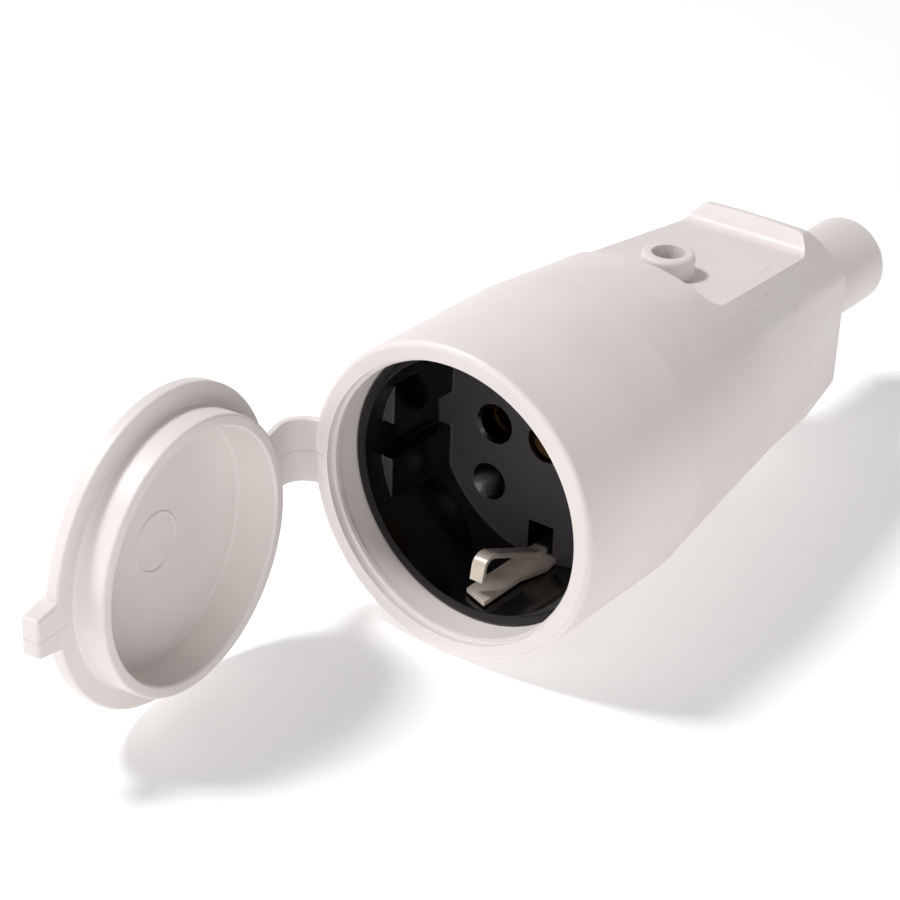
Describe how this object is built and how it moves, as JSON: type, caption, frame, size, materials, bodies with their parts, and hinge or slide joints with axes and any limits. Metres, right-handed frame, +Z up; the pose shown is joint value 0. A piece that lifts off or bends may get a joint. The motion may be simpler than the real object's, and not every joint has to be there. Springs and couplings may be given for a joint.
{
  "type": "earthed cord coupler",
  "caption": "White soft-sleeved female cord coupler with a black round recessed socket, spring earth clips, a thumb pad with a hollow boss, a cord neck and a round lid on a strap.",
  "frame": {"origin": "centre of the mouth, in the plane of the sleeve's rim", "axes": "+Y from the mouth along the coupler to the cord neck, +Z up through the thumb pad, the lid hangs open at -X"},
  "size_m": [0.0521, 0.1785, 0.049],
  "materials": {
    "white_sleeve": "satin moulded soft plastic",
    "black_insert": "glossy moulded hard plastic",
    "nickel_plated": "nickel plated spring strip",
    "contact_brass": "turned brass",
    "spring_steel": "spring steel",
    "screw_steel": "zinc plated"
  },
  "bodies": {
    "coupler": {"housing": "white_sleeve", "hinge_strap": "white_sleeve", "contact_carrier": "black_insert", "carrier_cover": "black_insert", "cord_clamp": "black_insert", "earth_bow": "nickel_plated", "earth_clamp_plate": "nickel_plated", "line_contact": "contact_brass", "neutral_contact": "contact_brass", "line_terminal": "contact_brass", "neutral_terminal": "contact_brass", "centre_screw": "contact_brass", "line_contact_spring": "spring_steel", "neutral_contact_spring": "spring_steel", "line_terminal_screw": "screw_steel", "neutral_terminal_screw": "screw_steel", "earth_terminal_screw": "screw_steel", "cord_clamp_screws": "screw_steel", "retaining_screw": "screw_steel", "retaining_nut": "screw_steel"},
    "lid": {"lid": "white_sleeve"}
  },
  "joints": [
    {"name": "lid_hinge", "type": "hinge", "parent": "coupler", "child": "lid", "pos_m": [-0.0292, -0.0051, 0], "axis": [0, 0, 1], "range_deg": [-95.3, 84.7], "deforming": ["hinge_strap"]}
  ]
}
